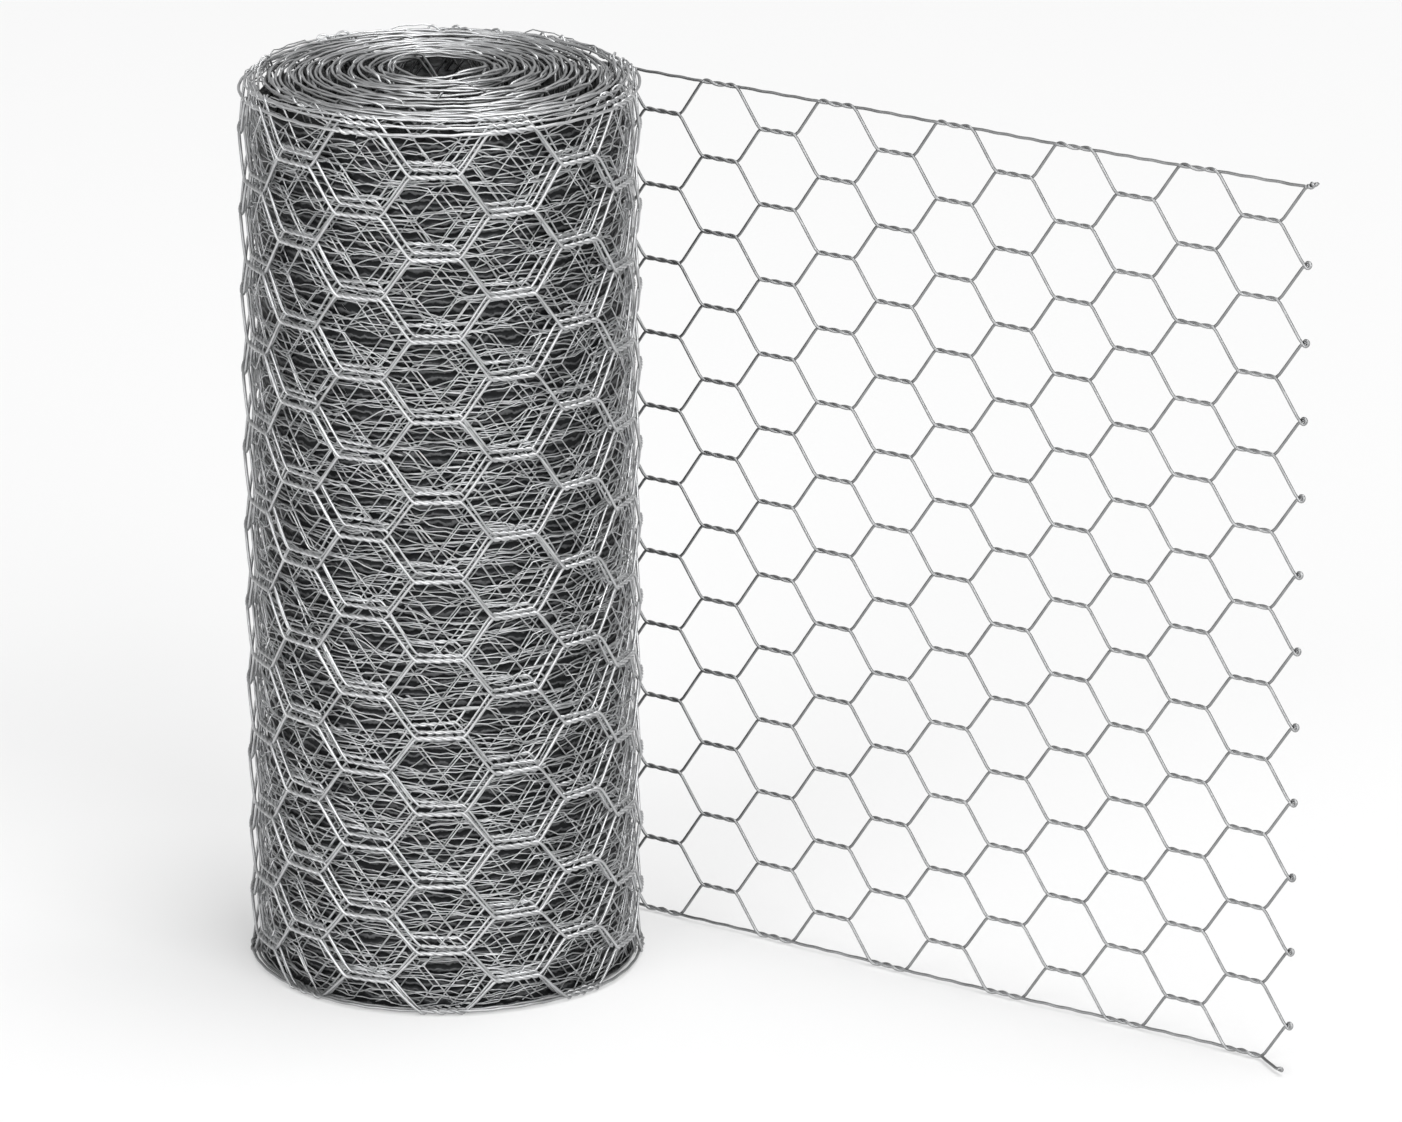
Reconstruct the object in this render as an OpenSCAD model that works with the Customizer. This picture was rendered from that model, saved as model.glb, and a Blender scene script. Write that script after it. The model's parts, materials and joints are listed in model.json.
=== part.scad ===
// A standing roll of galvanised hexagonal wire netting with its loose end drawn off the outside.
// Millimetres. The roll's axis is +Z, the floor is z = 0, and the loose end runs along +X.

/* [Netting] */
// Width of the netting, which is the height of the standing roll
netting_w = 300; // [240:1:360]
// Whole meshes across the width, in a column whose last twist lies on an edge wire
mesh_rows = 11; // [8:1:13]
// Diameter of the drawn wire
wire_d = 1.05; // [0.7:0.05:1.3]
// Distance from one column of twists to the next
column_pitch = 23.4; // [21:0.1:28]
// Length of the twist that two wires share in each mesh
twist_length = 13.8; // [10:0.1:15]

/* [Wound roll] */
// Outside diameter of the wound turns
roll_d = 134; // [120:1:160]
// Diameter of the open bore through the middle
bore_d = 26; // [20:1:45]
// Number of turns
turns = 31; // [14:1:34]
// Width of the gap between two turns where it shows on an end
turn_gap_w = 0.6; // [0.3:0.05:0.9]
// Depth of that gap
turn_gap_depth = 1.5; // [0.5:0.1:4]

/* [Loose end] */
// Clearance between the loose end and the last turn, where it leaves the roll
leave_clearance = 0.15; // [0.05:0.05:0.5]
// Distance from the roll's axis to the first column of twists that stands off the roll
first_column_x = 18; // [17:0.5:24]
// Number of columns of twists on the loose end
tail_columns = 12; // [4:1:13]
// Length of the curled tip on each pair of cut wires
cut_tip_length = 3.5; // [2:0.5:6]

/* [Hidden] */

// Sides of a wire or a twist in section
wire_sides = 6;
// Turn of that section about its own axis, so that wires that cross share no flat
rising_turn = 10;
falling_turn = 25;
// Facets of the turned roll
round_fn = 180;
// Two wires twisted together fill a circle of two wire diameters
twist_d = 2 * wire_d;
// Rows are counted in half meshes from the bottom edge wire, and the top one closes the last half
edge_half_row = 2 * mesh_rows + 1;
half_pitch = (netting_w - twist_d) / edge_half_row;
// Length of netting that a slanted wire crosses between two columns
slant_run = column_pitch - twist_length;
// The loose end is a flat sheet that leaves the roll along its tangent
tail_y = roll_d / 2 + wire_d + leave_clearance;
sheet_start_x = column_x(-1);
tail_end_x = column_x(tail_columns) - twist_length / 2;
turn_pitch = (roll_d - bore_d) / 2 / turns;

function column_x(column) = first_column_x + column * column_pitch;
function row_z(half_row) = wire_d + half_row * half_pitch;
// Twists sit on odd half rows in even columns and on even half rows in odd columns
function first_half_row(column) = 1 - abs(column % 2);

// A straight bar from one point of the sheet to another, each given as [x, z]
module bar(from, to, d, turn = 0) {
    run = to - from;
    translate([from.x, tail_y, from.y])
        rotate([0, 90 - atan2(run.y, run.x), 0])
            rotate([0, 0, turn])
                cylinder(h = norm(run), d = d, $fn = wire_sides);
}

// The column that lies on the roll's tangent: the sheet starts at the middle of its twists
module leaving_column() {
    for (half_row = [first_half_row(-1) : 2 : edge_half_row])
        bar([sheet_start_x, row_z(half_row)], [sheet_start_x + twist_length / 2, row_z(half_row)], twist_d);
}

// One column of twists, and the slanted wires that reach it from the column before
module mesh_column(column) {
    x = column_x(column);
    for (half_row = [first_half_row(column) : 2 : edge_half_row]) {
        twist_start = [x - twist_length / 2, row_z(half_row)];
        bar(twist_start, [x + twist_length / 2, row_z(half_row)], twist_d);
        slants_to(twist_start, half_row);
    }
}

// The two slanted wires that meet at a point on a half row, or one where that row is an edge
module slants_to(point, half_row) {
    for (step = [-1, 1])
        if (half_row + step >= 0 && half_row + step <= edge_half_row)
            bar([point.x - slant_run, row_z(half_row + step)], point, wire_d,
                step < 0 ? rising_turn : falling_turn);
}

// The cut end, where the last slanted wires meet and each pair is curled into a short tip
module cut_column() {
    for (half_row = [first_half_row(tail_columns) : 2 : edge_half_row]) {
        joint = [tail_end_x, row_z(half_row)];
        slants_to(joint, half_row);
        bar(joint, joint + [cut_tip_length, 0], twist_d);
    }
}

// An edge wire runs the whole length of the sheet
module edge_wire(half_row) {
    bar([sheet_start_x, row_z(half_row)], [tail_end_x, row_z(half_row)], wire_d);
}

module wound_roll() {
    color("gray")
        rotate_extrude($fn = round_fn)
            difference() {
                translate([bore_d / 2, 0])
                    square([(roll_d - bore_d) / 2, netting_w]);
                for (turn = [1 : turns - 1], z = [0, netting_w - turn_gap_depth])
                    translate([bore_d / 2 + turn * turn_pitch - turn_gap_w / 2, z])
                        square([turn_gap_w, turn_gap_depth]);
            }
}

module loose_end() {
    color("silver") {
        leaving_column();
        for (column = [0 : tail_columns - 1])
            mesh_column(column);
        cut_column();
        edge_wire(0);
        edge_wire(edge_half_row);
    }
}

wound_roll();
loose_end();
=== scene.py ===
import json
import math

import bpy
import numpy as np
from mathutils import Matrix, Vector


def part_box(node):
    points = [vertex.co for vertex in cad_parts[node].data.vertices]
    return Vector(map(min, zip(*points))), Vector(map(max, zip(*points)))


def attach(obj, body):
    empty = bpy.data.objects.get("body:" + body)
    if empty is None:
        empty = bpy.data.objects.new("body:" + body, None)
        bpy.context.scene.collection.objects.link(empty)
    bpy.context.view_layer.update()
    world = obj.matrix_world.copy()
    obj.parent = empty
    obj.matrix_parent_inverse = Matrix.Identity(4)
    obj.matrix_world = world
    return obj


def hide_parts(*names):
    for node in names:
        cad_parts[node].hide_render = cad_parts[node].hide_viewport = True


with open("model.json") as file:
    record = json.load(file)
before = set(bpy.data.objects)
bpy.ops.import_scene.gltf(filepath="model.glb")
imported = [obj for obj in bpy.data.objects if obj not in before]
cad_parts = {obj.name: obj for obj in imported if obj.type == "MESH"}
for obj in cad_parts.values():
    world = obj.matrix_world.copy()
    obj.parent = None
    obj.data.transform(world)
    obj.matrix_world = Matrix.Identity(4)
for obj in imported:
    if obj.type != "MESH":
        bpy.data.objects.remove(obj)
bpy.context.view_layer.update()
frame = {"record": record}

# The netting: drawn steel wires twisted in pairs into hexagonal meshes, between two straight edge
# wires, then hot-dip galvanised. One strip of it is wound up from the bore outwards, and s is the
# distance along that strip in metres: below zero on the roll, and above zero on the loose end.
MM = 0.001
WIRE_D = 1.05 * MM
COLUMN_PITCH = 23.4 * MM
TWIST_LENGTH = 14.6 * MM
SLANT_RUN = COLUMN_PITCH - TWIST_LENGTH
FIRST_COLUMN_S = 18.0 * MM
HALF_ROWS = 23
EDGE_HEIGHT = 1.55 * MM
SEED = 1250

tail_low, tail_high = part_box("loose_end")
tail_y = (tail_low.y + tail_high.y) / 2
netting_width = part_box("wound_roll")[1].z
half_pitch = (netting_width - 2 * EDGE_HEIGHT) / HALF_ROWS
bore_radius = frame["record"]["mounts"][0]["dims"]["r_mm"] * MM
chance = np.random.default_rng(SEED)


def eased(value, start, end):
    """Smooth step: 0 at start, 1 at end, level at both."""
    share = np.clip((value - start) / (end - start), 0, 1)
    return share * share * (3 - 2 * share)


def wander(position, wavelengths):
    """Sum of sines with the given wavelengths and chance phases, over the root of their number."""
    phases = chance.uniform(0, 2 * np.pi, len(wavelengths))
    waves = [np.sin(2 * np.pi * position / w + p) for w, p in zip(wavelengths, phases)]
    return sum(waves) / math.sqrt(len(waves))


# The turns lie close, in loose pairs, but the outermost has sprung open and those next to the bore
# are bent. Inner turns stand a little higher. turn_angle is the angle still to go before the strip
# leaves the roll, and a name that ends in OVER says where a gradual change starts and ends.
LAP = 2 * np.pi
TURNS, STEPS_PER_TURN = 31, 1000
BORE_CLEARANCE = 0.2 * MM
NESTED, NESTED_OVER = 0.9 * MM, (2.0, 0.0)  # the last turn lies inside the loose end's line
SLACK, SLACK_OVER = 0.5 * MM, (LAP + 0.5, LAP - 1.3)  # and stands off the turn before it
UNEVEN, UNEVEN_OVER = 0.55 * MM, (0.2, 2.5)
UNEVEN_WAVES = (1.31, 2.9, 4.7, 8.3, 13.1)
BENT, BENT_OVER = 0.9 * MM, (24 * MM, 15 * MM)
DOME, DOME_OVER = 2.5 * MM, (60 * MM, 22 * MM)
STEP_UP, STEPS = 1.0 * MM, 3.0  # the outermost turns stand one step higher each, going in
LIFTED, LIFTED_OVER = 0.8 * MM, (2.0, 8.0)
LIFTED_WAVES = (2.3, 3.7, 5.1, 9.7)
PAIRED, PAIRED_OVER = 0.35 * MM, (1.2 * LAP, 3.2 * LAP)
PAIR_LIFT, PAIR_PHASE = 0.8 * MM, -0.31

turn_angle = np.linspace(0, LAP * TURNS, STEPS_PER_TURN * TURNS + 1)
inner_radius = bore_radius + WIRE_D + BORE_CLEARANCE
outer_radius = tail_y - NESTED - SLACK
spiral_radius = outer_radius + (inner_radius - outer_radius) * turn_angle / (LAP * TURNS)
near_bore = eased(spiral_radius, *BENT_OVER)
spiral_radius += SLACK * eased(turn_angle, *SLACK_OVER) + NESTED * eased(turn_angle, *NESTED_OVER)
uneven_turns = wander(turn_angle, UNEVEN_WAVES) * eased(turn_angle, *UNEVEN_OVER)
spiral_radius += (UNEVEN + BENT * near_bore) * uneven_turns
turn_lift = DOME * eased(spiral_radius, *DOME_OVER) + STEP_UP * np.minimum(turn_angle / LAP, STEPS)
turn_lift += LIFTED * (1 + wander(turn_angle, LIFTED_WAVES)) * eased(turn_angle, *LIFTED_OVER)
pairs = np.sin(turn_angle / 2 + PAIR_PHASE) * eased(turn_angle, *PAIRED_OVER)
spiral_radius += PAIRED * pairs
turn_lift += PAIR_LIFT * pairs

# Netting gives along its length. On the outer turns eight columns go to the half of each turn at
# the front and ten to the half behind, so that they lie mesh on mesh with a little slip. Further in
# the columns keep their pitch and slip past each other, and the rows stray between the edges.
FRONT_ANGLE = math.radians(215.25)
FRONT_COLUMN = 11  # columns from the first loose one back to the middle of the front
COLUMNS_IN_FRONT, COLUMNS_BEHIND = 8, 10
OUTER_LAPS = 3
INNER_PITCH = 25 * MM
FIRST_INNER_HALF, INNER_REACH = 3, 6.0  # half turn where the order starts to go, radians past the last
COVERED_OVER = (0.6 * LAP, 1.3 * LAP)
SLIP, INNER_SLIP = 1.1 * MM, 5.0 * MM
SLIP_WAVES = (4.1, 7.3, 11.9)
STRAY, INNER_STRAY = 0.8 * MM, 3.2 * MM
STRAY_SHIFT = 4.0
STRAY_WAVES = (3.7, 8.9, 15.1)

halves = FRONT_ANGLE + np.pi * (np.arange(2 * OUTER_LAPS + 1) - 0.5)
columns_each = [-COLUMNS_IN_FRONT / 2] + OUTER_LAPS * [COLUMNS_IN_FRONT, COLUMNS_BEHIND]
half_columns = FRONT_COLUMN - FIRST_COLUMN_S / COLUMN_PITCH + np.cumsum(columns_each)
columns_back = np.interp(turn_angle, np.append(0, halves), np.append(0, half_columns))
free_columns = np.where(turn_angle > halves[-1], spiral_radius / INNER_PITCH, 0)
columns_back += turn_angle[1] * np.cumsum(free_columns)
inside = eased(turn_angle, halves[FIRST_INNER_HALF], halves[-1] + INNER_REACH)
covered = eased(turn_angle, *COVERED_OVER)
netting_back = COLUMN_PITCH * columns_back
slip = (SLIP + INNER_SLIP * inside) * spiral_radius / tail_y
netting_back += slip * wander(turn_angle, SLIP_WAVES) * covered
row_stray = STRAY * covered + INNER_STRAY * inside
stray_phase = STRAY_SHIFT * wander(turn_angle, STRAY_WAVES)

# Low down the rows of the standing roll lie deeper than those of the loose end, and at the top they
# lie higher. The loose end sways a little from its line.
ROW_SAG, SAG_ZONE, SAG_FOOT = 8.5 * MM, 70 * MM, 2 * MM
SAG_OVER = (0, 1.5)
ROLL_STRETCH, STRETCH_POWER = 5.5 * MM, 4
STRAY_HEIGHT = 110 * MM
LIFT_OVER = (0, 30 * MM)
SWAY, SWAY_OVER = 0.7 * MM, (30 * MM, 200 * MM)
SWAY_LENGTH, SWAY_HEIGHT = 31 * MM, 70 * MM


def place(s, z, n):
    """Point and outward normal for distance s along the strip, height z and n outwards from its
    middle surface: a spiral in plan on the roll, and its tangent line, with a slight sway, on the
    loose end. On the roll the rows sag by x exp(1 - x), x being the height over SAG_ZONE, the top
    stretches upwards, and each turn strays in waves up its height and is lifted above its foot."""
    back = -np.minimum(s, 0)
    free = np.maximum(s, 0)
    angle = np.interp(back, netting_back, turn_angle)
    radius = np.interp(angle, turn_angle, spiral_radius) + n
    theta = np.pi / 2 + angle
    sway = eased(free, *SWAY_OVER) * SWAY * np.sin(free / SWAY_LENGTH + z / SWAY_HEIGHT)
    normal = np.stack([np.cos(theta), np.sin(theta), np.zeros_like(theta)], -1)
    point = normal * (radius + sway)[..., None]
    point[..., 0] += free
    height = np.maximum(z - SAG_FOOT, 0)
    sag = ROW_SAG * height / SAG_ZONE * np.exp(1 - height / SAG_ZONE)
    sag -= ROLL_STRETCH * (height / netting_width) ** STRETCH_POWER
    between = np.interp(angle, turn_angle, row_stray) * np.sin(np.pi * z / netting_width)
    stray = between * np.sin(2 * np.pi * z / STRAY_HEIGHT + np.interp(angle, turn_angle, stray_phase))
    lift = np.interp(angle, turn_angle, turn_lift) * eased(z, *LIFT_OVER)
    point[..., 2] = z - sag * eased(angle, *SAG_OVER) + stray + lift
    return point, normal


def column_and_rest(s):
    """Number of the column that each s lies in, counted from its twist, and the distance into it."""
    column = np.floor((s - FIRST_COLUMN_S + TWIST_LENGTH / 2) / COLUMN_PITCH)
    return column, s - FIRST_COLUMN_S + TWIST_LENGTH / 2 - column * COLUMN_PITCH


# In a twist each wire circles the common axis at half its own thickness. An edge wire circles less,
# and the mesh wire that is wrapped round it circles wider, most of all near the twist's ends.
ORBIT = WIRE_D / 2
BEND_REACH, BEND_STEPS = 1.0 * MM, 7
EDGE_ORBIT, EDGE_WRAP, EDGE_FLARE = 0.55, 0.55, 0.7
EDGE_RIPPLE, RIPPLE_LENGTH = 0.1 * MM, 9.3 * MM


def strands(s, half_turns, looseness=1.0):
    """Heights and outward offsets of the mesh wires and of the two edge wires along s, as arrays
    of wires by samples. Mesh wire j swings between half rows j and j + 1. It lies on one of them
    through a twist and crosses to the other on a slant, with its bends rounded by a moving mean.
    In a twist the two wires circle their common axis, half a turn apart, for an odd number of half
    turns, so that falling slants pass in front of rising ones. looseness scales that circle. A mesh
    wire circles wider round an edge wire, which circles less and ripples between its twists."""
    lane = np.arange(HALF_ROWS)[:, None]
    column, rest = column_and_rest(s)
    on_upper = (lane + column + 1) % 2
    side = 1 - 2 * on_upper
    level = 0
    bend = np.linspace(-BEND_REACH, BEND_REACH, BEND_STEPS)
    for shift in bend:
        near_column, near_rest = column_and_rest(s + shift)
        near_upper = (lane + near_column + 1) % 2
        slant = np.clip((near_rest - TWIST_LENGTH) / SLANT_RUN, 0, 1)
        level = level + (near_upper + (1 - 2 * near_upper) * slant) / len(bend)
    share = np.clip(rest / TWIST_LENGTH, 0, 1)
    phase = np.pi * half_turns * share
    from_middle = 2 * share - 1
    wrap = EDGE_WRAP * (1 - from_middle**8) * (1 + EDGE_FLARE * from_middle**2)
    at_edge = (lane == 0) & (on_upper == 0) | (lane == HALF_ROWS - 1) & (on_upper == 1)
    orbit = ORBIT * looseness * (1 + at_edge * wrap)
    mesh_z = EDGE_HEIGHT + half_pitch * (lane + level) - side * orbit * np.sin(phase)
    mesh_n = -side * orbit * np.cos(phase)

    edge_side = np.array([[-1.0], [1.0]])
    has_twist = np.concatenate([at_edge[:1], at_edge[-1:]])
    in_twist = has_twist & (rest < TWIST_LENGTH)
    reach = np.where(has_twist, rest - TWIST_LENGTH, rest + SLANT_RUN)
    run = np.clip(reach / (COLUMN_PITCH + SLANT_RUN), 0, 1)
    across = np.where(in_twist, np.cos(phase), 2 * run - 1)
    up = np.where(has_twist, np.sin(phase), 0)
    ripple = EDGE_RIPPLE * np.sin(2 * np.pi * s / RIPPLE_LENGTH) * (1 - in_twist)
    edge_rows = np.array([[EDGE_HEIGHT], [EDGE_HEIGHT + HALF_ROWS * half_pitch]])
    edge_z = edge_rows - edge_side * EDGE_ORBIT * ORBIT * up + ripple
    edge_n = -edge_side * EDGE_ORBIT * ORBIT * across
    return np.concatenate([mesh_z, edge_z]), np.concatenate([mesh_n, edge_n])


def tubes(points, normals, sides, wire_d):
    """Round wires along rows of points: at each point a ring of radius wire_d / 2 square to the
    wire, turned so that its first corner lies outwards. Returns corners, quads and end caps."""
    along = np.gradient(points, axis=1)
    along /= np.linalg.norm(along, axis=-1, keepdims=True)
    out = normals - along * (normals * along).sum(-1, keepdims=True)
    out /= np.linalg.norm(out, axis=-1, keepdims=True)
    side = np.cross(along, out)
    turn = 2 * np.pi * np.arange(sides) / sides
    ring = np.cos(turn)[:, None] * out[:, :, None] + np.sin(turn)[:, None] * side[:, :, None]
    corners = points[:, :, None] + wire_d / 2 * ring
    number = np.arange(corners[..., 0].size).reshape(corners.shape[:3])
    after = np.roll(number, -1, axis=2)
    quads = np.stack([number[:, :-1], after[:, :-1], after[:, 1:], number[:, 1:]], -1)
    caps = np.concatenate([number[:, 0, ::-1], number[:, -1]])
    return corners.reshape(-1, 3), quads.reshape(-1, 4), caps


# Painted shade and light on the zinc's colour: it is darkened where little light gets in between the
# turns, near the floor and towards the bore, in place of real shade. Radii are from the roll's axis.
SHADE_SIDE, SHADE_END, LEAST_LIGHT = 50 * MM, 1.1 * MM, 0.1
SEEN_THROUGH = 60 * MM  # wires further in show only at the ends of the roll
TOP_STRETCH = 0.4
STEPS_OVER = (66 * MM, 62 * MM)
TOP_LIFTED, TOP_LIFTED_OVER = 0.6 * MM, (64 * MM, 58 * MM)
SHADE_IN_BORE, BORE_OVER = 20 * MM, (19 * MM, 15 * MM)
FLOOR_LIGHT, FLOOR_OVER = 0.65, (0, 12 * MM)
BEHIND_GAIN, BEHIND_OVER, BELOW_TOP_OVER = 0.14, (64.5 * MM, 63.7 * MM), (2 * MM, 10 * MM)
OUTER_LOSS, OUTER_OVER = 0.13, (63.9 * MM, 66.5 * MM)
BORE_LIGHT = 0.75
CORE_GAIN, CORE_OVER = 0.13, (12 * MM, 32 * MM)
SIDE_GAIN, SIDE_OVER = 0.12, (59 * MM, 61 * MM)


def roll_shade_paint(points):
    """Painted shade and light on the roll's wires, a factor on their colour: it falls off by a power of e
    over SHADE_SIDE inwards from the outside or over SHADE_END down from the top, whichever leaves more,
    but more slowly down the bore. It is lower at the floor and towards the bore. The outermost turn is
    painted darker, and the wires just behind it lighter."""
    radius = np.hypot(points[:, 0], points[:, 1])
    inwards = np.maximum(tail_y - NESTED - radius, 0)
    top = netting_width + TOP_STRETCH * ROLL_STRETCH + STEP_UP * STEPS * eased(radius, *STEPS_OVER)
    top += DOME * eased(radius, *DOME_OVER) + TOP_LIFTED * eased(radius, *TOP_LIFTED_OVER)
    from_top = np.maximum(top - points[:, 2], 0)
    from_side = np.where(radius > SEEN_THROUGH, inwards / SHADE_SIDE, np.inf)
    from_end = from_top / (SHADE_END + SHADE_IN_BORE * eased(radius, *BORE_OVER))
    depth = np.minimum(from_side, from_end)
    left = LEAST_LIGHT + (1 - LEAST_LIGHT) * np.exp(-depth)
    left *= FLOOR_LIGHT + (1 - FLOOR_LIGHT) * eased(points[:, 2], *FLOOR_OVER)
    left *= 1 + BEHIND_GAIN * eased(radius, *BEHIND_OVER) * eased(from_top, *BELOW_TOP_OVER)
    left *= 1 - OUTER_LOSS * eased(radius, *OUTER_OVER)
    outwards = CORE_GAIN * eased(radius, *CORE_OVER) + SIDE_GAIN * eased(radius, *SIDE_OVER)
    return left * (BORE_LIGHT + outwards)


def wire_piece(name, points, normals, sides, node, wire_d=WIRE_D, painted_shade=None):
    """One mesh object of round wires, which stands for a node of the solid model. The last argument
    is the painted shade at each point, a factor on the wire's colour in place of light and shade, or
    else that is worked out from the place on the roll."""
    corners, quads, caps = tubes(points, normals, sides, wire_d)
    mesh = bpy.data.meshes.new(name)
    mesh.vertices.add(len(corners))
    mesh.vertices.foreach_set("co", corners.ravel())
    mesh.loops.add(quads.size + caps.size)
    mesh.loops.foreach_set("vertex_index", np.concatenate([quads.ravel(), caps.ravel()]))
    totals = np.concatenate([np.full(len(quads), 4), np.full(len(caps), sides)])
    mesh.polygons.add(len(totals))
    mesh.polygons.foreach_set("loop_start", np.concatenate([[0], np.cumsum(totals)[:-1]]))
    mesh.polygons.foreach_set("use_smooth", np.arange(len(totals)) < len(quads))
    mesh.update(calc_edges=True)
    painted_level = roll_shade_paint(corners) if painted_shade is None else np.repeat(painted_shade.ravel(), sides)
    mesh.attributes.new("painted_shade_factor", "FLOAT", "POINT").data.foreach_set("value", painted_level)
    mesh.materials.append(galvanised)
    piece = bpy.data.objects.new(name, mesh)
    bpy.context.scene.collection.objects.link(piece)
    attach(piece, "root")
    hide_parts(node)


def linear(code):
    """sRGB hex colour as linear red, green, blue and alpha."""
    srgb = np.array([int(code[i : i + 2], 16) / 255 for i in (1, 3, 5)])
    low, high = srgb / 12.92, ((srgb + 0.055) / 1.055) ** 2.4
    return (*np.where(srgb <= 0.04045, low, high), 1.0)


def add_node(tree, kind, inputs=None, **settings):
    """Adds a node, sets its properties, and sets or links its inputs by name."""
    made = tree.nodes.new(kind)
    for key, value in settings.items():
        setattr(made, key, value)
    for key, value in (inputs or {}).items():
        if isinstance(value, bpy.types.NodeSocket):
            tree.links.new(value, made.inputs[key])
        else:
            made.inputs[key].default_value = value
    return made


# Hot-dip galvanised steel wire: a thin coat of zinc, satin grey, with duller and brighter patches a
# few millimetres long where the zinc drained off and froze. Its grain is drawn as coarse as it
# needs to be to show.
PATCH, GRAIN, GRAIN_DEPTH = 5 * MM, 2.2 * MM, 0.05 * MM
galvanised = bpy.data.materials.new("hot_dip_galvanised_steel_wire")
galvanised.use_nodes = True
tree = galvanised.node_tree
shader = tree.nodes["Principled BSDF"]
shader.inputs["Metallic"].default_value = 1.0
where = add_node(tree, "ShaderNodeTexCoord").outputs["Object"]
patches = add_node(tree, "ShaderNodeTexNoise", {"Vector": where, "Scale": 1 / PATCH, "Detail": 3.0})
zinc_tone = add_node(tree, "ShaderNodeValToRGB", {"Fac": patches.outputs["Fac"]})
zinc_tone.color_ramp.elements[0].position = 0.3
zinc_tone.color_ramp.elements[0].color = linear("#C2C3C4")
zinc_tone.color_ramp.elements[1].position = 0.7
zinc_tone.color_ramp.elements[1].color = linear("#E2E3E4")
# Painted shade: the zinc colour is scaled by a shade factor stored on the mesh, in place of light and
# shade.
painted_level = add_node(tree, "ShaderNodeAttribute", attribute_name="painted_shade_factor").outputs["Fac"]
shaded = add_node(
    tree, "ShaderNodeVectorMath", {"Vector": zinc_tone.outputs["Color"], "Scale": painted_level}, operation="SCALE"
)
tree.links.new(shaded.outputs["Vector"], shader.inputs["Base Color"])
grain = add_node(tree, "ShaderNodeTexNoise", {"Vector": where, "Scale": 1 / GRAIN, "Detail": 2.0})
dull = add_node(
    tree, "ShaderNodeMapRange", {"Value": grain.outputs["Fac"], "To Min": 0.42, "To Max": 0.5}
)
tree.links.new(dull.outputs["Result"], shader.inputs["Roughness"])
bump = add_node(
    tree, "ShaderNodeBump", {"Height": grain.outputs["Fac"], "Strength": 0.1, "Distance": GRAIN_DEPTH}
)
tree.links.new(bump.outputs["Normal"], shader.inputs["Normal"])


def column_samples(first, last, in_twist, in_slant):
    """Distances s from the start of column first to the start of column last + 1: in_twist even
    steps along each twist, and in_slant points on each slant, closer together near its bends."""
    twist = TWIST_LENGTH * np.arange(in_twist) / in_twist
    spread = (1 - np.cos(np.pi * np.arange(in_slant) / in_slant)) / 2
    offsets = np.concatenate([twist, TWIST_LENGTH + SLANT_RUN * spread])
    starts = FIRST_COLUMN_S - TWIST_LENGTH / 2 + COLUMN_PITCH * np.arange(first, last + 2)
    return np.append((starts[:-1, None] + offsets).ravel(), starts[-1])


# The wound turns: the same netting, turn over turn. The outer turns have round wires with all
# their twist, and those that show only through the meshes outside them have fewer sides. The turns
# of the core show only at their ends, and the last few line the bore.
ALL_WIRES = list(range(HALF_ROWS + 2))
END_WIRES = [0, 1, HALF_ROWS - 2, HALF_ROWS - 1, HALF_ROWS, HALF_ROWS + 1]
LAST_WOUND_COLUMN = -2
# Each row: name, last turn, wires, steps in a twist and in a slant, sides, half turns of a twist,
# looseness of a twist, and wire thickness in mm.
WOUND = (
    ("outer_turn", 1, ALL_WIRES, 18, 5, 6, 5, 0.75, 1.05),
    ("next_turns", 2.8, ALL_WIRES, 14, 4, 5, 5, 0.7, 0.85),
    ("third_turns", 4.6, ALL_WIRES, 12, 4, 4, 3, 1.3, 0.75),
    ("turn_ends_of_core", 27.5, END_WIRES, 8, 4, 4, 1, 0.8, 0.95),
    ("turns_at_bore", TURNS, ALL_WIRES, 6, 3, 4, 1, 0.8, 0.95),
)
last = LAST_WOUND_COLUMN
for name, to_turn, wires, in_twist, in_slant, sides, half_turns, looseness, wire_mm in WOUND:
    to_s = -np.interp(LAP * to_turn, turn_angle, netting_back)
    first = int(column_and_rest(to_s)[0]) + 1
    s = column_samples(first, last, in_twist, in_slant)
    heights, offsets = (rows[wires] for rows in strands(s, half_turns, looseness))
    s = np.broadcast_to(s, heights.shape)
    wire_piece(name, *place(s, heights, offsets), sides, "wound_roll", wire_mm * MM)
    last = first - 1

# Between and behind these turns lie many more, slipped out of line with each other. Some show
# through the meshes outside them as whole meshes of thinner wires, each ring of them turned and
# shifted by chance.
SLIPPED_RADII = np.array([60.9, 61.4, 62.0, 62.6, 63.2, 63.8]) * MM
SLIPPED_COLUMNS, SLIPPED_LOOSENESS, SLIPPED_WIRE_D = 16, 0.6, 0.58 * MM
SLIPPED_STEPS = (3, 2)  # in a twist and in a slant
SLIPPED_BY = 7 * MM
SLIPPED_WAVE, SLIPPED_WAVES = 1.2 * MM, 5
LOWEST_SLIPPED, ABOVE_EDGE = 1.5 * MM, 4 * MM
INNER_SIDES = 3

slipped_s = column_samples(0, SLIPPED_COLUMNS - 1, *SLIPPED_STEPS)
slipped_turn = LAP * (slipped_s - slipped_s[0]) / (slipped_s[-1] - slipped_s[0])
slipped_turn = slipped_turn + chance.uniform(0, LAP, (len(SLIPPED_RADII), 1, 1))
slipped_z = strands(slipped_s, 1, SLIPPED_LOOSENESS)[0][:HALF_ROWS]
slipped_z = slipped_z + chance.uniform(-SLIPPED_BY, SLIPPED_BY, (len(SLIPPED_RADII), 1, 1))
wave_phase = chance.uniform(0, LAP, (1, HALF_ROWS, 1))
slipped_z = slipped_z + SLIPPED_WAVE * np.sin(SLIPPED_WAVES * slipped_turn + wave_phase)
slipped_z = np.clip(slipped_z, LOWEST_SLIPPED, netting_width + ABOVE_EDGE)


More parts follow.
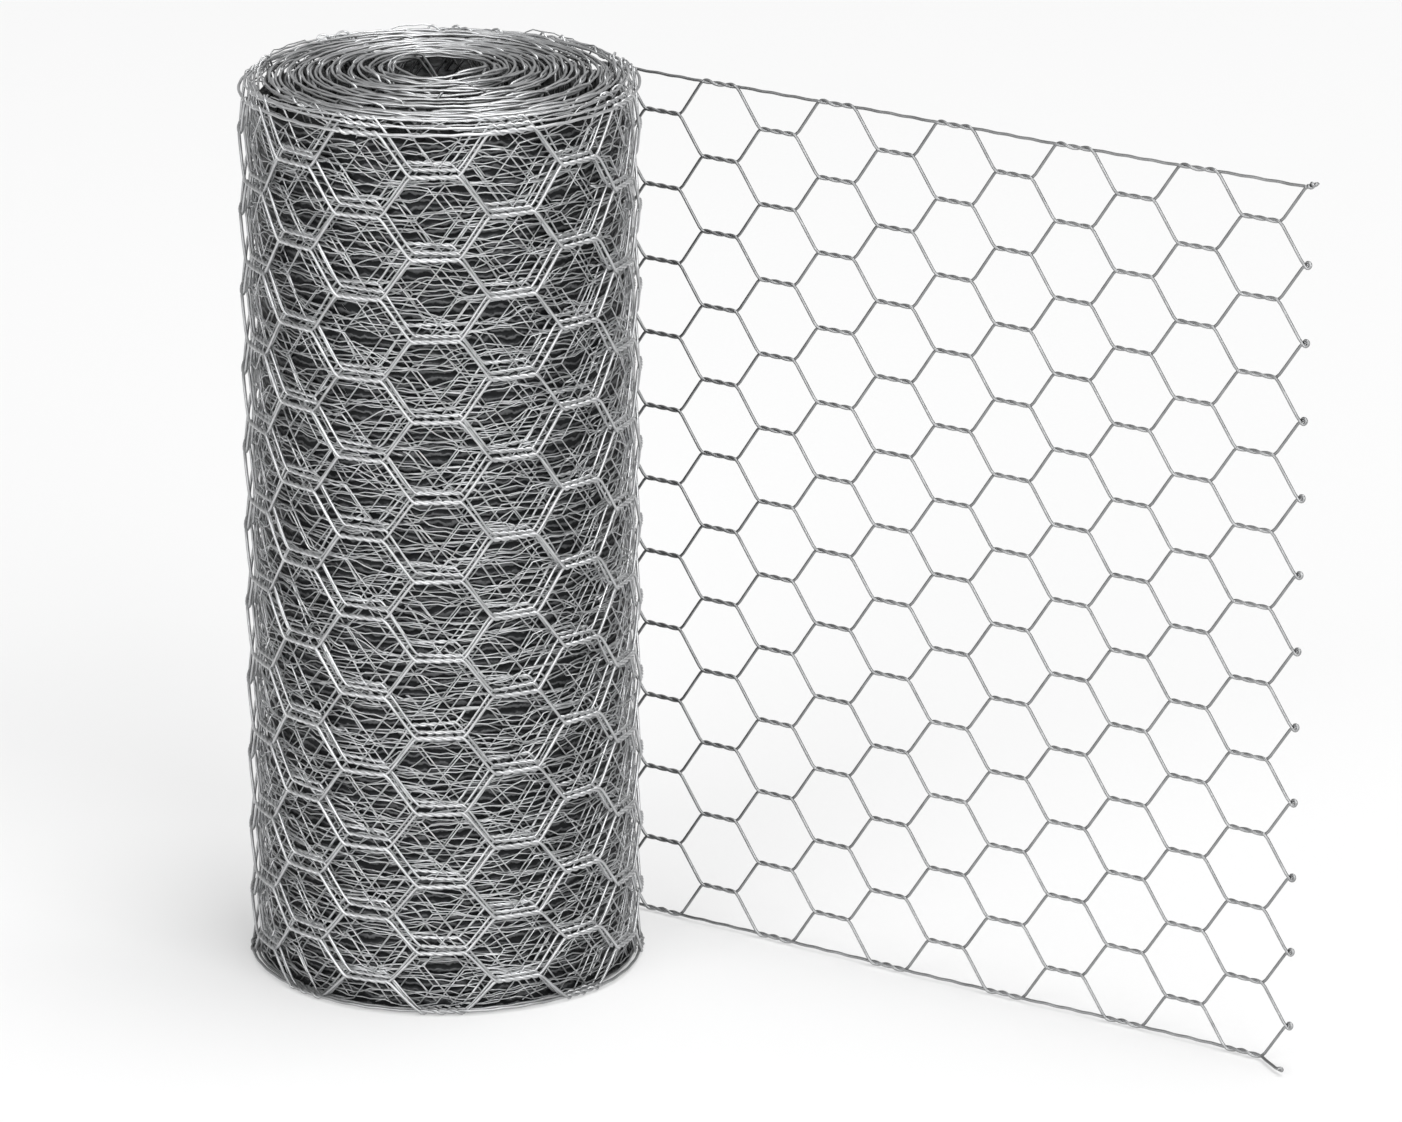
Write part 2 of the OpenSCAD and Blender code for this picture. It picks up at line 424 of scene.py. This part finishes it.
def on_turns(radii, turn, heights):
    """Points and normals of wires at the given radii and heights around the roll's axis."""
    turn = np.broadcast_to(turn, heights.shape)
    normals = np.stack([np.cos(turn), np.sin(turn), np.zeros_like(turn)], -1)
    points = normals * np.broadcast_to(radii[:, None, None], heights.shape)[..., None]
    points[..., 2] = heights
    samples = heights.shape[-1]
    return points.reshape(-1, samples, 3), normals.reshape(-1, samples, 3)


slipped = on_turns(SLIPPED_RADII, slipped_turn, slipped_z)
wire_piece("slipped_turns", *slipped, INNER_SIDES, "wound_roll", SLIPPED_WIRE_D)

# The twists of the turns further in line up into many wavy, nearly level runs of wire. Each run
# rises and falls in steps, as a wire does from row to row, with two finer waves on top.
LEVEL_RADII = np.array([61.2, 62.3, 63.5]) * MM
LEVELS, LEVEL_SAMPLES, LEVEL_WIRE_D = 54, 145, 0.5 * MM
LEVELS_FROM, LEVEL_SHIFT = 2 * MM, 1.8 * MM
LOWEST_LEVEL, LOWEST_WIRE = 3 * MM, 1 * MM
LEAST_SWING, MOST_SWING = 0.6 * MM, 3.2 * MM
SWINGS, SWING_SHARPNESS = 8, 2.2
WAVE, WAVES = 0.4 * MM, 19
RIPPLE, RIPPLES = 0.3 * MM, 44

around = np.linspace(0, LAP, LEVEL_SAMPLES)
each_level = (len(LEVEL_RADII), LEVELS, 1)
level_z = np.linspace(LEVELS_FROM, netting_width + ABOVE_EDGE, LEVELS)[:, None]
level_z = level_z + chance.uniform(-LEVEL_SHIFT, LEVEL_SHIFT, each_level)
level_z = np.maximum(level_z, LOWEST_LEVEL)
first_wave, second_wave = chance.uniform(0, LAP, (2, *each_level))
swing = chance.uniform(LEAST_SWING, MOST_SWING, each_level)
level_z = level_z + swing * np.tanh(SWING_SHARPNESS * np.sin(SWINGS * around + first_wave))
level_z += WAVE * np.sin(WAVES * around + second_wave) + RIPPLE * np.sin(RIPPLES * around + first_wave)
level_z = np.maximum(level_z, LOWEST_WIRE)
level_wires = on_turns(LEVEL_RADII, around, level_z)
wire_piece("level_wires", *level_wires, INNER_SIDES, "wound_roll", LEVEL_WIRE_D)

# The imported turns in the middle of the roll, behind those: so many meshes lie over each other here
# that no light comes through, and their wires show as fine grey streaks on a dark tube.
CORE_OUT, CORE_FOOT, CORE_IN = 60.5 * MM, 63.2 * MM, 20 * MM
CORE_SIDES = 96
core_top = netting_width - 1 * MM
core_profile = np.array(
    [
        (CORE_FOOT, 0.5 * MM),
        (CORE_FOOT, 1.5 * MM),
        (CORE_OUT, 4 * MM),
        (CORE_OUT, core_top),
        (CORE_IN, core_top + DOME / 2),
        (CORE_IN, 5 * MM),
    ]
)
core_radius, core_z = core_profile.T
core_turn = np.linspace(0, LAP, CORE_SIDES, endpoint=False)
core_points = np.stack(
    [
        np.cos(core_turn)[:, None] * core_radius,
        np.sin(core_turn)[:, None] * core_radius,
        np.broadcast_to(core_z, (CORE_SIDES, len(core_z))),
    ],
    -1,
)
number = np.arange(core_points[..., 0].size).reshape(-1, len(core_z))
beside, above = np.roll(number, -1, axis=0), np.roll(number, -1, axis=1)
core_faces = np.stack([number, beside, np.roll(beside, -1, axis=1), above], -1).reshape(-1, 4)
core_mesh = bpy.data.meshes.new("packed_turns")
core_mesh.from_pydata(core_points.reshape(-1, 3).tolist(), [], core_faces.tolist())

# Packed netting in shade: the same zinc with little light on it, dark grey, with lighter streaks
# where wires lie. A wave texture of scale k repeats every 2 pi / 20 k.
STREAK_PITCH, STREAK_DEPTH = 2.6 * MM, 0.5 * MM
packed = bpy.data.materials.new("packed_netting_in_shade")
packed.use_nodes = True
tree = packed.node_tree
shader = tree.nodes["Principled BSDF"]
shader.inputs["Metallic"].default_value = 1.0
shader.inputs["Roughness"].default_value = 0.5
where = add_node(tree, "ShaderNodeTexCoord").outputs["Object"]
streaks = add_node(
    tree,
    "ShaderNodeTexWave",
    {
        "Vector": where,
        "Scale": 2 * math.pi / 20 / STREAK_PITCH,
        "Distortion": 5.0,
        "Detail": 3.0,
        "Detail Scale": 2.0,
    },
    bands_direction="Z",
)
tone = add_node(tree, "ShaderNodeValToRGB", {"Fac": streaks.outputs["Fac"]})
tone.color_ramp.elements[0].position = 0.55
tone.color_ramp.elements[0].color = linear("#292A2B")
tone.color_ramp.elements[1].position = 0.95
tone.color_ramp.elements[1].color = linear("#626364")
tree.links.new(tone.outputs["Color"], shader.inputs["Base Color"])
bump = add_node(
    tree, "ShaderNodeBump", {"Height": streaks.outputs["Fac"], "Strength": 0.6, "Distance": STREAK_DEPTH}
)
tree.links.new(bump.outputs["Normal"], shader.inputs["Normal"])
core_mesh.materials.append(packed)
core = bpy.data.objects.new("packed_turns", core_mesh)
bpy.context.scene.collection.objects.link(core)
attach(core, "root")
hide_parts("wound_roll")

# The loose end: drawn off the roll and standing on its bottom edge. Where it was cut, each falling
# wire is curled into a small eye, the rising wire ends behind it, the bottom edge wire is bent out,
# and the top one sticks out with the wire that is twisted round it.
FIRST_COLUMN, LAST_COLUMN = -1, 11
LOOSE_HALF_TURNS, LOOSE_TWIST, LOOSE_SIDES = 3, 0.62, 7
LOOSE_STEPS = (25, 5)  # in a twist and in a slant
BENT_OUT = 0.7
CURL_STEPS = 18
EYE_STRAIGHT, EYE_RADIUS, EYE_TURN = 1.1 * MM, 0.95 * MM, math.radians(310)
TUCK_STRAIGHT, TUCK_RADIUS, TUCK_TURN = 0.2 * MM, 0.8 * MM, -math.radians(120)
HOOK_STRAIGHT, HOOK_RADIUS, HOOK_TURN = 3.2 * MM, 0.6 * MM, math.radians(280)
EYE_OUT, TUCK_OUT, HOOK_OUT = 1.1 * ORBIT, 1.6 * ORBIT, -2.4 * MM
STUB_LENGTH, STUB_RISE, STUB_HALF_TURNS = 4.4 * MM, math.radians(20), 3
# Painted shade: the loose end's wires have their colour painted darker than the roll's, the twists a little
# less dark.
LOOSE_PAINTED_SHADE, LOOSE_TWIST_PAINTED_SHADE, TWIST_FADE = 0.48, 0.54, 1.5 * MM
BOTTOM_EDGE, TOP_EDGE, TOP_WIRE = HALF_ROWS, HALF_ROWS + 1, HALF_ROWS - 1

s = column_samples(FIRST_COLUMN, LAST_COLUMN, *LOOSE_STEPS)
heights, offsets = strands(s, LOOSE_HALF_TURNS, LOOSE_TWIST)
past_last_twist = s - (FIRST_COLUMN_S + LAST_COLUMN * COLUMN_PITCH + TWIST_LENGTH / 2)
offsets[BOTTOM_EDGE] -= BENT_OUT * np.maximum(past_last_twist, 0)
s = np.broadcast_to(s, heights.shape)
slant_heading = math.atan2(half_pitch, SLANT_RUN)
end_share = np.linspace(0, 1, CURL_STEPS + 1)[1:]


def curl(heading, turn, straight, radius, n_start, n_end):
    """Steps from a wire's end along a straight bit and then round an arc, as s, z and n."""
    straight_share = straight / (straight + radius * abs(turn))
    forward = straight * np.minimum(end_share / straight_share, 1)
    angle = turn * np.maximum((end_share - straight_share) / (1 - straight_share), 0)
    sign = math.copysign(1, turn)
    ahead = forward + radius * np.sin(np.abs(angle))
    left = sign * radius * (1 - np.cos(angle))
    ds = math.cos(heading) * ahead - math.sin(heading) * left
    dz = math.sin(heading) * ahead + math.cos(heading) * left
    return ds, dz, n_start + (n_end - n_start) * end_share


ends = np.zeros((3, HALF_ROWS + 2, CURL_STEPS))
eye = curl(-slant_heading, EYE_TURN, EYE_STRAIGHT, EYE_RADIUS, -ORBIT, EYE_OUT)
tuck = curl(slant_heading, TUCK_TURN, TUCK_STRAIGHT, TUCK_RADIUS, ORBIT, TUCK_OUT)
ends[:, 1:HALF_ROWS:2] = np.array(eye)[:, None]
ends[:, 0:HALF_ROWS:2] = np.array(tuck)[:, None]
ends[:, BOTTOM_EDGE] = curl(0, HOOK_TURN, HOOK_STRAIGHT, HOOK_RADIUS, 0, HOOK_OUT)
ends[2, BOTTOM_EDGE] += offsets[BOTTOM_EDGE, -1]
stub_turn = STUB_HALF_TURNS * np.pi * end_share
for row, sign in ((TOP_WIRE, 1), (TOP_EDGE, -1)):
    ends[0, row] = STUB_LENGTH * end_share * math.cos(STUB_RISE)
    ends[1, row] = STUB_LENGTH * end_share * math.sin(STUB_RISE) + sign * ORBIT * np.sin(stub_turn)
    ends[2, row] = sign * ORBIT * np.cos(stub_turn)
s = np.concatenate([s, s[:, -1:] + ends[0]], 1)
heights = np.concatenate([heights, heights[:, -1:] + ends[1]], 1)
offsets = np.concatenate([offsets, ends[2]], 1)
# Painted shade along the loose end: a little lighter through each twist, fading in and out over TWIST_FADE.
into_column = column_and_rest(s)[1]
twisted = eased(into_column, 0, TWIST_FADE)
twisted = twisted * eased(into_column, TWIST_LENGTH, TWIST_LENGTH - TWIST_FADE)
painted_shade = LOOSE_PAINTED_SHADE + (LOOSE_TWIST_PAINTED_SHADE - LOOSE_PAINTED_SHADE) * twisted
wire_piece("loose_end_netting", *place(s, heights, offsets), LOOSE_SIDES, "loose_end", painted_shade=painted_shade)

# The stage: a white paper floor that keeps the soft shadows, in a white studio. The paper glows a
# little where it is looked at or mirrored, so that it comes out white, and lights nothing.
AZIMUTH = math.radians(35.25)
RIGHT = Vector((math.cos(AZIMUTH), math.sin(AZIMUTH), 0))
FRONT = Vector((math.sin(AZIMUTH), -math.cos(AZIMUTH), 0))
UP = Vector((0, 0, 1))
REACH = 8.0
PAPER_GLOW, STUDIO_LIGHT = 0.385, 0.4
floor_mesh = bpy.data.meshes.new("floor")
floor_corners = [(-REACH, -REACH, 0), (REACH, -REACH, 0), (REACH, REACH, 0), (-REACH, REACH, 0)]
floor_mesh.from_pydata(floor_corners, [], [(0, 1, 2, 3)])
floor = bpy.data.objects.new("floor", floor_mesh)
bpy.context.scene.collection.objects.link(floor)
paper = bpy.data.materials.new("white_paper_floor")
paper.use_nodes = True
tree = paper.node_tree
shader = tree.nodes["Principled BSDF"]
shader.inputs["Base Color"].default_value = linear("#B8B8B8")
shader.inputs["Roughness"].default_value = 0.9
path = add_node(tree, "ShaderNodeLightPath").outputs
seen = add_node(
    tree, "ShaderNodeMath", {0: path["Is Camera Ray"], 1: path["Is Glossy Ray"]}, operation="MAXIMUM"
)
seen = add_node(
    tree, "ShaderNodeMath", {0: seen.outputs[0], 1: path["Is Transmission Ray"]}, operation="MAXIMUM"
)
glow = add_node(tree, "ShaderNodeMath", {0: seen.outputs[0], 1: PAPER_GLOW}, operation="MULTIPLY")
shader.inputs["Emission Color"].default_value = (1, 1, 1, 1)
tree.links.new(glow.outputs[0], shader.inputs["Emission Strength"])
floor_mesh.materials.append(paper)

world = bpy.data.worlds.new("white_studio")
world.use_nodes = True
bpy.context.scene.world = world
world.node_tree.nodes["Background"].inputs["Color"].default_value = (1, 1, 1, 1)
world.node_tree.nodes["Background"].inputs["Strength"].default_value = STUDIO_LIGHT


def soft_light(name, spot, target, size, power):
    """A square area lamp at a spot, facing a target."""
    lamp = bpy.data.lights.new(name, "AREA")
    lamp.size = size
    lamp.energy = power
    made = bpy.data.objects.new(name, lamp)
    made.location = spot
    made.rotation_euler = (Vector(target) - Vector(spot)).to_track_quat("-Z", "Y").to_euler()
    bpy.context.scene.collection.objects.link(made)


# Three large soft lamps, one overhead and two in front. Each row: name, direction to the right, to
# the front and up, distance and size in metres, and watts.
LAMPS = (
    ("key_light", 0.17, -0.02, 0.98, 10.0, 4.2, 480),
    ("front_left_light", -0.55, 0.75, 0.36, 8.0, 5.1, 290),
    ("front_right_light", 0.42, 0.73, 0.53, 8.0, 5.1, 410),
)
middle = Vector((0.06, 0, 0.15))
for name, right, front, up, distance, size, power in LAMPS:
    way = (RIGHT * right + FRONT * front + UP * up).normalized()
    soft_light(name, middle + way * distance, middle, size, power)

# The camera: the photograph's view, from the front and a little above.
FRAME_WIDTH_PX = 1402
FOCAL_PX = 8243.6
ELEVATION = math.radians(17.73)
DISTANCE = 2.7678
AIM_ACROSS, AIM_UP = 0.086, 0.138
target = RIGHT * AIM_ACROSS + UP * AIM_UP
back = FRONT * math.cos(ELEVATION) + UP * math.sin(ELEVATION)
camera = bpy.data.objects.new("camera", bpy.data.cameras.new("camera"))
camera.data.lens = camera.data.sensor_width * FOCAL_PX / FRAME_WIDTH_PX
camera.location = target + back * DISTANCE
camera.rotation_euler = back.to_track_quat("Z", "Y").to_euler()
camera.data.clip_end = 100
bpy.context.scene.collection.objects.link(camera)
bpy.context.scene.camera = camera
bpy.context.scene.view_settings.view_transform = "Standard"
